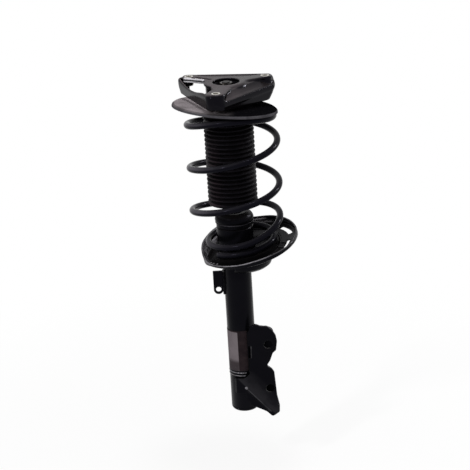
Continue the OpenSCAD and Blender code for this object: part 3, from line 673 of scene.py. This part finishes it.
def mount_valley(f, wall):
    """Valley between the front ear and the right one, which falls from the hub to the wall."""
    (cos, sin), slope = on_circle(1, -40), 0.62
    ahead = np.maximum(f.x * cos + f.y * sin - 36, 0)
    fall = (f.z + 4.5 + slope * ahead) / 1.18          # distance to the sloping floor
    f.cut(np.maximum(between_arms(f, FRONT, RIGHT, 18.5, 13.5, 36.5, 9), -fall), 7)
    deck = np.maximum(between_arms(f, FRONT, RIGHT, 14, 9, 33, 3), np.abs(fall + 2.6) - 2.1)
    f.join(np.maximum(deck, wall + 1.5), 5)


def mount_pocket(f, plan):
    """Pocket between the rear left ear and the front one, its rib, and the wall's dip beside it."""
    pocket = np.maximum(between_arms(f, REAR, FRONT, 9, 17, 40, 7), plan + 4.6)
    f.cut(np.maximum(pocket, -(f.z + 14)), 2.5)
    cos, sin = on_circle(1, 200)
    ahead, across = f.x * cos + f.y * sin, f.y * cos - f.x * sin
    dip = np.maximum(np.hypot(across + 15, f.z - 193.5) - 202, 41 - ahead)    # a long, shallow arc
    f.cut(np.maximum(dip, 15 - np.min([np.hypot(f.x - x, f.y - y) for x, y in EARS], 0)), 4.0)
    rib = capsule_plan(f.x, f.y, *POCKET_RIB, 1.7)
    f.join(np.maximum(rib, np.abs(f.z + 4.4) - 4), 0.8)
    f.join(np.maximum(rib - 0.9, np.abs(f.z + 6.6) - 1), 0.6)
    x, y = EARS[REAR]
    groove = capsule_plan(f.x, f.y, (x * 0.78, y * 0.78), (x * 0.42, y * 0.42))
    f.cut(np.hypot(groove, f.z + 0.4) - 2.4, 1.4)


def mount_hub(f):
    """Hub, bush carrier, bearing flange and ear bosses under the web, with their bores."""
    axis = np.hypot(f.x, f.y)
    f.join(np.maximum(between(axis, HUB_R, HUB_OUT_R), between(f.z, HUB_LOW, -4.5)), 3.5)
    f.join(rim(between(axis, 30, FLANGE_R), between(f.z, FLANGE_LOW, HUB_LOW), 0.5), 1.5)
    f.join(np.hypot(axis - BUSH_R - 2.5, f.z + 2.2) - 2.1, 2.5)
    for x, y in EARS:
        f.join(disc(f, x, y, 12, -16, -1, 1.0), 3.0)
        f.join(disc(f, x, y, 11, -6, -0.05, 1.2), 2.0)
        f.cut(np.hypot(f.x - x, f.y - y) - INSERT_R, 0.5)
    f.cut(axis - BUSH_R, 2.0)
    f.cut(np.maximum(axis - HUB_R - 0.02, between(f.z, -30, -5.2)), 0.4)


def mount_shell():
    """Cast cup: three ears, drawn-in walls, a valley, an open pocket and a hub for the bush."""
    f = Field((-96, -100, -46), (96, 76, 3), 1.2)
    (ax, ay), (bx, by), (cx, cy) = EARS
    corners = [(ax - 3, ay + 0.8), (ax + 3, ay + 0.8), (bx + 2.4, by), (cx - 3.2, cy)]
    plan = polygon_plan(f.x, f.y, corners) - EAR_R + 0.1 * np.maximum(-f.z - 12, 0)
    depths, radii = (0, 17.25, 31, 43.1, 60), (99.5, 97.6, 90.5, 82, 70)
    round_wall = (np.hypot(f.x + AXIS_X, f.y) - np.interp(-f.z, depths, radii)) * 0.95
    wall = -blend_min(-plan, -round_wall, 7)
    f.join(rim(wall, f.z, 6.5))
    lean_x, lean_y = math.tan(math.radians(5)), math.tan(math.radians(2.1))
    f.keep(-(f.z + 34 + (f.x + AXIS_X) * lean_x + f.y * lean_y), 1.6)
    inside = -blend_min(-(plan + CAST_WALL), -(round_wall + CAST_WALL), 6)
    f.cut(rim(inside, f.z + CAST_DECK, 3.5), 1.0)
    mount_valley(f, wall)
    # shallow sink between the two rear ears
    sink = np.maximum(between_arms(f, RIGHT, REAR, 14, 14, 34, 9), plan + 7)
    f.cut(np.maximum(sink, -(f.z + 1.8)), 3)
    mount_pocket(f, plan)
    mount_hub(f)
    # window in the rear wall
    window = np.hypot(np.maximum(np.abs(f.x + 50) - 12, 0), np.maximum(np.abs(f.z + 24) - 8, 0)) - 4
    f.cut(np.maximum(window, 42 - f.y), 1.2)
    f.keep(f.z + 0.15, 0.4)
    obj = evened(piece("shell_casting", *f.mesh(), "mount_casting", "top_mount", ["mount_shell"]))
    # painted highlights: two bright lines where the arm to the rear left ear meets the pocket
    x, y, z = points(obj)
    near = ramp(capsule_plan(x, y, *HIGHLIGHT_RIB), 3.6, -1.8)
    store_painted_light(obj, 0.9 * near * np.maximum(ramp(np.abs(z + 1.0), 1.9, -1), ramp(np.abs(z + 6.4), 1.6, -1)))


# ---------------- damper tube
def damper_tube():
    """Painted tube, and the pressed end that closes it with a round edge."""
    top, seam, low, corner, wall = -248, -624.4, -632.5, 7.5, 2.6
    tube = [(TUBE_R - wall, seam + 0.05), (TUBE_R - 0.25, seam + 0.05), (TUBE_R, seam + 0.4),
            (TUBE_R, top - 0.4), (TUBE_R - 0.4, top), (TUBE_R - wall, top)]
    turned("tube_skin", tube, 112, 40, "black_paint", "strut_body", "outer_tube")
    edge = arc(TUBE_R - corner, low + corner, corner, range(-90, 1, 9))
    end = [(0, low + 0.8), (8, low + 0.6), (12, low), *edge, (TUBE_R, seam - 0.3), (TUBE_R - 0.3, seam),
           (0, seam)]
    obj = piece("tube_end", *lathe(end, 112), "black_paint", "strut_body", ["base_cup"])

    def weld_centre(bm):
        bmesh.ops.remove_doubles(bm, verts=bm.verts, dist=1e-6)
        bmesh.ops.dissolve_degenerate(bm, edges=bm.edges, dist=1e-7)

    edit(obj.data, weld_centre)
    smooth_by_angle(obj, 40)


# ---------------- lower spring seat
# the tables hold pairs of an angle and a value, in the dish's own frame, where its rim is flat
PAN_X, PAN_Z, PAN_R, PAN_FLOOR, FUNNEL_X, COLLAR_R = 28.0, -308.0, 91.0, -7.25, 12.0, 33.6
PAN_TURN = Matrix.Rotation(math.radians(-12), 3, "Y") @ Matrix.Rotation(math.radians(7), 3, "X")
RIM_TOP = [(0, 4), (15, 3), (30, 5), (45, 7), (60, 8), (75, 8), (90, 10), (105, 14), (120, 17), (135, 18),
           (150, 16.5), (165, 16), (175, 13), (185, 7), (195, 2), (210, 3), (225, 5), (240, 6.5), (255, 7.3),
           (270, 8.5), (285, 9), (300, 8), (315, 6), (345, 4)]
RIM_CONE = [(0, 0.25), (15, 0.1), (30, 0), (180, 0), (195, 0.15), (210, 0.42), (225, 0.5), (315, 0.5),
            (330, 0.48), (345, 0.4)]
RIM_OUT = [(0, 87), (15, 89), (30, 90.5), (45, PAN_R), (285, PAN_R), (300, 90), (315, 88.5), (330, 87),
           (345, 86)]
DOTS = ((203, 83, -2.5), (209, 82, -1.2), (216, 81, -0.2))      # angle, radius and height
RINGS = ((-62, 73, 11), (-25, 60, 9))                           # angle, radius and the ring's own radius
WINDOWS = ((10, 27, 75, 2.4), (-31, 20, 69.5, 1.0))             # start, sweep, radius and half width


def around_rim(angle, table):
    """Smooth value along the rim, from pairs of angle and value."""
    a, v = np.array(table, float).T
    fine = np.arange(360)
    steps = np.interp(fine, np.append(a, a[0] + 360), np.append(v, v[0]))
    kernel = np.hanning(15) / np.hanning(15).sum()
    even = np.convolve(np.concatenate([steps[-7:], steps, steps[:7]]), kernel, "valid")
    return np.interp(np.mod(np.degrees(angle), 360), np.append(fine, 360), np.append(even, even[0]))


def on_dish(x, y):
    """Radius and angle of a place on the dish, and the wall's top and outer radius at that angle."""
    angle = np.arctan2(y, x)
    return np.hypot(x, y), angle, around_rim(angle, RIM_TOP), around_rim(angle, RIM_OUT)


def dish_steps(f, rad, wide, steep, base):
    """What is pressed into the wall and the floor: steps, rings, a rib and three dots."""
    f.join(np.hypot(rad - wide + 3.2, f.z + 0.4) - 1.5 + 4 * steep, 2.0)
    f.join(np.hypot(np.hypot(f.x + PAN_X - TAIL_X, f.y) - 70.5, f.z - base - 1.6) - 1.6, 1.6)
    for a, r, size in RINGS:
        x, y = on_circle(r, a)
        f.join(np.hypot(np.hypot(f.x - x, f.y - y) - size, f.z - base - 1.2) - 1.3, 2.0)
    for a, r, h in DOTS:
        f.join(ball(f, *on_circle(r, a), h, 2.4), 1.5)
    rib = capsule_plan(f.x, f.y, on_circle(72, 257), on_circle(87, 257))
    f.join(np.hypot(rib, f.z - base - 1.6) - 1.8, 2.0)


def dish_holes(f, rad, angle):
    """Windows in the floor beside the wall, and the hole for the collar on the strut's axis."""
    for start, sweep, r, half in WINDOWS:
        off = np.maximum(between(angle, math.radians(start), math.radians(start + sweep)), 0) * rad
        f.cut(np.hypot(np.maximum(np.abs(rad - r) - half, 0), off) - 1.5, 1.0)
    back = PAN_TURN.transposed()
    along, foot = back @ Vector((0, 0, 1)), back @ Vector((-PAN_X, 0, 0))
    px, py, pz = f.x - foot.x, f.y - foot.y, f.z - foot.z
    dot = px * along.x + py * along.y + pz * along.z
    away = np.sqrt((px - dot * along.x) ** 2 + (py - dot * along.y) ** 2 + (pz - dot * along.z) ** 2)
    f.cut(away - COLLAR_R, 0.4)


def dish_painted_light(x, y, z):
    """Where painted highlights and painted light go: lip, steps behind the coil, tall left wall and dots."""
    rad, angle, top, wide = on_dish(x, y)
    turn = np.mod(np.degrees(angle), 360)
    lip = ramp(z, top - 0.9, 0.6) * (0.14 + 0.52 * ramp(turn, 188, 6) * ramp(turn, 294, -14))
    step = np.maximum(ramp(np.abs(z - 3.6), 2, -1) * ramp(turn, 64, 10),
                      ramp(np.abs(z + 2.6), 2.8, -1.4) * ramp(turn, 56, 6))
    step *= ramp(turn, 112, -10) * (rad > wide - 7) * (rad < wide - 1.6)
    left = ramp(turn, 112, 12) * ramp(turn, 206, -14)
    left *= ramp(rad, wide - 9, 3) * ramp(rad, wide - 1.3, -0.5) * ramp(z, -7, 3)
    places = [on_circle(r, a) for a, r, _ in DOTS]
    dots = np.max([ramp(np.hypot(x - px, y - py), 3, -1) for px, py in places], 0) * (z > -4.5)
    return np.clip(np.max([0.52 * lip, step, 0.46 * left, 0.52 * dots], 0), 0, 1)


def spring_dish():
    """Pressed lower seat: stepped floor, wall of uneven height with a rolled lip, and two windows."""
    f = Field((-94, -94, -11), (94, 94, 21), 1.0)
    rad, angle, top, wide = on_dish(f.x, f.y)
    steep = around_rim(angle, RIM_CONE)
    past = np.maximum(rad - 68, 0)
    base = PAN_FLOOR + steep * past ** 2 / (past + 3)
    f.join(np.maximum((np.abs(f.z - base) - 1.25) / np.sqrt(1 + steep ** 2), rad - wide + 1))
    f.join(np.maximum(np.abs(rad - wide + 1.4) - 1.2, between(f.z, base - 1.2, top - 1)), 4)
    f.join(np.hypot(rad - wide + 1.2, f.z - top + 1.3) - 1.7, 1.2)
    f.keep(-8.5 - f.z, 0.8)
    dish_steps(f, rad, wide, steep, base)
    dish_holes(f, rad, angle)
    verts, faces = f.mesh()
    local = np.array(verts)
    placed = local @ np.array(PAN_TURN).T + (PAN_X, 0, PAN_Z)
    obj = piece("spring_dish", placed.tolist(), faces, "black_paint", "strut_body", ["lower_spring_seat"])
    # painted highlights and painted light on the dish
    store_painted_light(evened(obj), dish_painted_light(*local.T))


def seat_funnel():
    """Pressed half bowl that carries the dish on the side towards the knuckle bolts."""
    f = Field((-14, -64, -357), (76, 64, -290), 1.2)
    corners = [(-9, -280), (55, -280), (54.5, -334), (51, -343), (44, -348.5), (30, -351.5), (-9, -351.5)]
    f.join(np.abs(polygon_plan(np.hypot(f.x - FUNNEL_X, f.y), f.z, rounded(corners, 4)) + 1.5) - 1.5)
    up = PAN_TURN @ Vector((0, 0, 1))
    f.keep(up.x * (f.x - PAN_X) + up.y * f.y + up.z * (f.z - PAN_Z) + 8.6, 0.6)    # under the dish
    f.keep(-5 - f.x, 1.5)
    axis = np.hypot(f.x, f.y)
    f.cut(axis - np.where(f.z > -347, COLLAR_R + 0.1, TUBE_R + 0.2), 0.4)
    f.join(np.maximum(np.hypot(axis - TUBE_R - 1.1, f.z + 350.5) - 2.2, -6 - f.x), 1.5)
    f.cut(axis - TUBE_R - 0.15, 0.3)
    evened(piece("seat_funnel", *f.mesh(), "black_paint", "strut_body", ["seat_brace"]))


def striker():
    """Domed cap of the damper, with a bead along its edge and a drawn-in skirt below."""
    bead = [(35.2, -257.6), (34.3, -259.4), (34.3, -260), (34.9, -260.7), (35, -261.3), (34.6, -262),
            (33.4, -262.3)]
    skirt = [(33.3, -268.2), (32, -268.3), (32, -248.2), (13.6, -248.2)]
    mouth = [(13.6, -246), (14.2, -245.4), (17.4, -243.2), (18.2, -243)]
    profile = arc(22.5, -256, 13, range(90, -1, -10)) + bead + skirt + mouth
    obj = turned("striker_dome", profile, 112, 40, "cap_plastic", "strut_body", "striker_cap")
    # painted highlight along the front of the bead
    x, y, z = points(obj)
    turn = np.degrees(np.arctan2(y, x))
    store_painted_light(obj, 0.5 * ramp(np.abs(z + 260.9), 1.2, -1.2) * ramp(np.abs(turn + 100), 60, -60))


# ---------------- knuckle bracket
PLATE, WRAP_R, WRAP_Z, GRIP_Z, BOLT_R = 5.0, TUBE_R + 0.1, -578, -511, 8.02
UPPER_BOLT, LOWER_BOLT = (48, -497), (48, -585)
FOLD_X, FOLD_Z, FOLD_COS, FOLD_SIN = 3.5, -581.2, 0.668, 0.744    # start of the press line, and its fall
FRONT_PLAN = [(12, -470), (17, -459), (26, -454.5), (37, -459.5), (48, -460), (57, -468), (63, -479),
              (65, -491), (62.5, -509), (56, -514.5), (50.5, -529), (43, -540), (52.5, -544.5), (57, -552),
              (58.5, -575), (60, -599), (64, -620), (63.3, -634), (50, -642.7), (39, -633), (23, -624),
              (12, -619), (3, -600), (2, -563), (12, -553)]
REAR_PLAN = [(12, -491), (16, -480), (30, -480.5), (46, -483), (55, -488.5), (61, -499), (63, -511),
             (61, -528), (54, -535), (49, -549), (42, -560), (50, -566), (56, -573), (58, -596), (59, -620),
             (58, -634), (48, -641), (39, -636), (23, -626), (12, -620), (3, -600), (2, -563), (12, -553)]


def from_fold(x, z):
    """How far a place lies along the press line that runs down to the foot, and how far below it."""
    dx, dz = x - FOLD_X, z - FOLD_Z
    return dx * FOLD_COS - dz * FOLD_SIN, -dx * FOLD_SIN - dz * FOLD_COS


def front_details(f, face, plan):
    """The front half's slot at the tube, and its press line with a spot at the upper end."""
    f.cut(np.maximum(capsule_plan(f.x, f.z, (13.6, -500), (13, -521), 1.9), 20 + f.y), 0.8)
    along, below = from_fold(f.x, f.z)
    sink = 2.8 * ramp(below, -1.5, 3) * ramp(below, 26, -14) * ramp(along, 0, 14) * ramp(along, 74, -10)
    f.cut(np.maximum(-face - sink, plan - 9), 1.0)
    f.join(np.hypot(capsule_plan(f.x, f.z, (5, -583), (46, -629)), face + 2.4) - 3.1, 3.0)
    f.join(ball(f, FOLD_X, -28.4, FOLD_Z, 2.6), 1.0)


def front_highlights(x, z):
    """Painted highlights on the front half's press line, its spot and the slot's edge, and painted light on
    the slope above the line.
    """
    above = -from_fold(x, z)[1]
    line = 0.14 * ramp(capsule_plan(x, z, (5, -583), (47, -631)), 1.6, -1.6)
    slope = 0.045 * ramp(above, 0, 2) * ramp(above, 34, -34) * (z < -548)
    spot = 0.55 * ramp(np.hypot(x - FOLD_X, z - FOLD_Z), 3, -1)
    slot = 0.2 * ramp(capsule_plan(x, z, (16.3, -499), (15.8, -521)), 1.2, -1.2)
    return np.max([line, slope, spot, slot], 0)


def bracket_half(name, node, front, corners):
    """Pressed half of the clevis: a plate that runs into a wrap round the tube, welded along its edge."""
    f = Field((-19, -34, -647), (68, 1, -450), 0.85)
    outline = rounded(corners, 5)
    plan, around = polygon_plan(f.x, f.z, outline), np.hypot(f.x, f.y)
    face = -f.y - WRAP_R - PLATE                # both halves are made with the plate towards -Y
    f.join(rim(plan, np.abs(face + PLATE / 2) - PLATE / 2, 1.3))
    wrap = np.maximum(np.abs(around - WRAP_R - 2.1) - 2.1, between(f.x, -15, 24))
    f.join(np.maximum(np.maximum(wrap, np.abs(f.z - WRAP_Z) - 15), f.y + 2), 5)
    grip = np.maximum(np.maximum(np.abs(around - WRAP_R - 1.4) - 1.4, 10 - f.x), np.abs(f.z - GRIP_Z) - 40)
    f.join(np.maximum(np.maximum(grip, f.y + 6), plan - 9), 4)
    if front:
        front_details(f, face, plan)
    ring = np.hypot(f.x - UPPER_BOLT[0], f.z - UPPER_BOLT[1]) - 11.5
    f.join(np.hypot(ring, face + 0.6) - 1.1, 1.5)
    weld = np.hypot(f.x + 15.2, np.maximum(np.abs(f.z - WRAP_Z) - 13, 0))
    weld = np.hypot(weld, around - WRAP_R - 0.6) - 2.3 - 0.35 * np.sin(f.z * 1.9)
    f.join(np.maximum(weld, f.y + 2), 1.0)
    for x, z in (UPPER_BOLT, LOWER_BOLT):
        f.cut(np.hypot(f.x - x, f.z - z) - BOLT_R, 0.6)
    f.cut(around - WRAP_R, 0.3)
    f.keep(face - 1.1, 0.5)
    f.cut(np.maximum(face + PLATE, 20 - f.x), 0.3)
    verts, faces = f.mesh()
    if not front:
        verts = [(x, -y, z) for x, y, z in verts]
    obj = evened(piece(name, verts, faces, "black_paint", "strut_body", [node]))
    x, y, z = points(obj)
    # painted highlights along the plate's outline and on the front half's marks
    share = 0.16 * ramp(np.abs(polygon_plan(x, z, outline)), 1.3, -1.3) * (x > 27)
    if front:
        share = np.maximum(share, front_highlights(x, z)) * (y < -22)
    store_painted_light(obj, 0.52 * share)


# ---------------- label
def wrapped(name, node, slot, start, sweep, low, high, thick, corner, lift=0.0):
    """A thin band on the tube with rounded corners, faintly lifted along its edges."""
    inner = TUBE_R + 0.02
    half_h, half_w = (high - low) / 2, math.radians(sweep) / 2 * inner
    cols, rows = max(24, int(sweep / 2)), max(4, int((high - low) / 1.2))
    verts, faces = [], []
    for outside in (False, True):
        for i, k in np.ndindex(cols + 1, rows + 1):
            u, v = -half_w + 2 * half_w * i / cols, -half_h + 2 * half_h * k / rows
            du, dv = max(0, abs(u) - half_w + corner), max(0, abs(v) - half_h + corner)
            far = math.hypot(du, dv)
            if far > corner:
                u -= math.copysign(du * (1 - corner / far), u)
                v -= math.copysign(dv * (1 - corner / far), v)
            edge = min(half_w - abs(u), half_h - abs(v))
            rise = thick * min(1, 0.35 + edge / 0.8) + lift * math.exp(-edge / 1.5)
            a = math.radians(start + sweep / 2) + u / inner
            r = inner + (rise if outside else 0)
            verts.append((r * math.cos(a), r * math.sin(a), (low + high) / 2 + v))
    n = rows + 1
    size = (cols + 1) * n
    for i, k in np.ndindex(cols, rows):
        a, b, c, d = i * n + k, (i + 1) * n + k, (i + 1) * n + k + 1, i * n + k + 1
        faces += [(a, b, c, d), (size + d, size + c, size + b, size + a)]
    ring = list(range(n)) + [i * n + rows for i in range(1, cols + 1)]
    ring += [cols * n + k for k in range(rows - 1, -1, -1)] + [i * n for i in range(cols - 1, 0, -1)]
    faces += [(a, b, size + b, size + a) for a, b in zip(ring, ring[1:] + ring[:1])]
    smooth_by_angle(piece(name, verts, faces, slot, "strut_body", [node]), 50)


def label():
    wrapped("label_patch", "bare_label", "label_film", 165, 130, -549, -469, 0.35, 2.5, 0.12)
    wrapped("band_upper", "label_bands", "bright_band", 100, 183, -553.9, -551.9, 0.8, 0.8)
    wrapped("band_lower", "label_bands", "bright_band", 100, 179, -559.5, -557.7, 0.8, 0.8)


# ---------------- carried-over solids
DULL = {"rod_nut": "dark_steel", "rod_washer": "dark_steel", "bush_sleeve": "dark_steel",
        "upper_spring_seat": "seat_paint"}


def dress_cad_nodes():
    """Gives each solid its material, and those that show a fine round along their edges."""
    slots = {s["node"]: s["material_slot"] for s in frame["record"]["subparts"]}
    for name, obj in frame["nodes"].items():
        obj.data.materials.clear()
        obj.data.materials.append(MATS[DULL.get(name, slots[name])])
        if not obj.hide_render:
            edges = obj.modifiers.new("edges", "BEVEL")
            edges.width, edges.segments = 0.0004, 2
            edges.limit_method, edges.angle_limit = "ANGLE", math.radians(40)


# ---------------- stage
def shader(g, kind, colour):
    node = g.add(kind)
    g.feed(node.inputs["Color"], colour)
    return node


def mixed(g, share, first, second):
    node = g.add("ShaderNodeMixShader")
    for socket, value in zip(node.inputs, (share, first, second)):
        g.feed(socket, value)
    return node.outputs[0]


def seen_as(g, lighting, shown):
    """One shader for the light on the part, and another for what is seen directly or mirrored."""
    rays = g.add("ShaderNodeLightPath").outputs
    seen = g.plus(rays["Is Camera Ray"], g.plus(rays["Is Glossy Ray"], rays["Is Transmission Ray"]), True)
    return mixed(g, seen, lighting, shown)


def make_floor():
    bpy.ops.mesh.primitive_plane_add(size=30, location=(0, 0, -0.76))
    floor = bpy.context.object
    floor.name = "floor"
    g = Graph(bpy.data.materials.new("floor_white"))
    glow = shader(g, "ShaderNodeEmission", (1, 1, 1)).outputs[0]
    diffuse = shader(g, "ShaderNodeBsdfDiffuse", (0.9, 0.9, 0.9)).outputs[0]
    far = g.span(g.vector("LENGTH", g.place()), 0.25, 1.1, 0.82, 1.0)
    shown = seen_as(g, diffuse, mixed(g, far, diffuse, glow))
    g.tree.nodes.remove(g.bsdf)
    g.feed(g.tree.nodes["Material Output"].inputs["Surface"], shown)
    floor.data.materials.append(g.owner)


def make_world():
    world = bpy.data.worlds.new("studio")
    bpy.context.scene.world = world
    g = Graph(world)
    soft, white = g.tree.nodes["Background"], shader(g, "ShaderNodeBackground", (1, 1, 1))
    g.feed(soft.inputs["Color"], (1, 1, 1))
    g.feed(soft.inputs["Strength"], 0.45)
    g.feed(white.inputs["Strength"], 1.0)
    g.feed(g.tree.nodes["World Output"].inputs["Surface"], seen_as(g, soft.outputs[0], white.outputs[0]))


def lamp(name, place, size, power):
    """A soft area light, turned towards the coil."""
    data = bpy.data.lights.new(name, "AREA")
    data.shape, data.energy = "RECTANGLE", power
    data.size, data.size_y = size
    obj = bpy.data.objects.new(name, data)
    bpy.context.scene.collection.objects.link(obj)
    obj.location = place
    obj.rotation_euler = (Vector((0, 0, -0.3)) - Vector(place)).to_track_quat("-Z", "Y").to_euler()


def stage():
    make_floor()
    make_world()
    lamp("key", (-1.6, -1.9, 1.5), (0.24, 0.4), 30)
    lamp("rim", (1.9, 0.9, 0.8), (0.24, 0.5), 20)
    lamp("top", (0.2, -0.2, 2.2), (0.4, 0.4), 20)


make_camera()
coil_spring()
dust_boot()
jounce_bumper()
mount_shell()
spring_dish()
seat_funnel()
striker()
damper_tube()
bracket_half("clevis_front", "knuckle_bracket_front", True, FRONT_PLAN)
bracket_half("clevis_rear", "knuckle_bracket_rear", False, REAR_PLAN)
label()
dress_cad_nodes()
stage()
bpy.context.scene.view_settings.view_transform = "Standard"
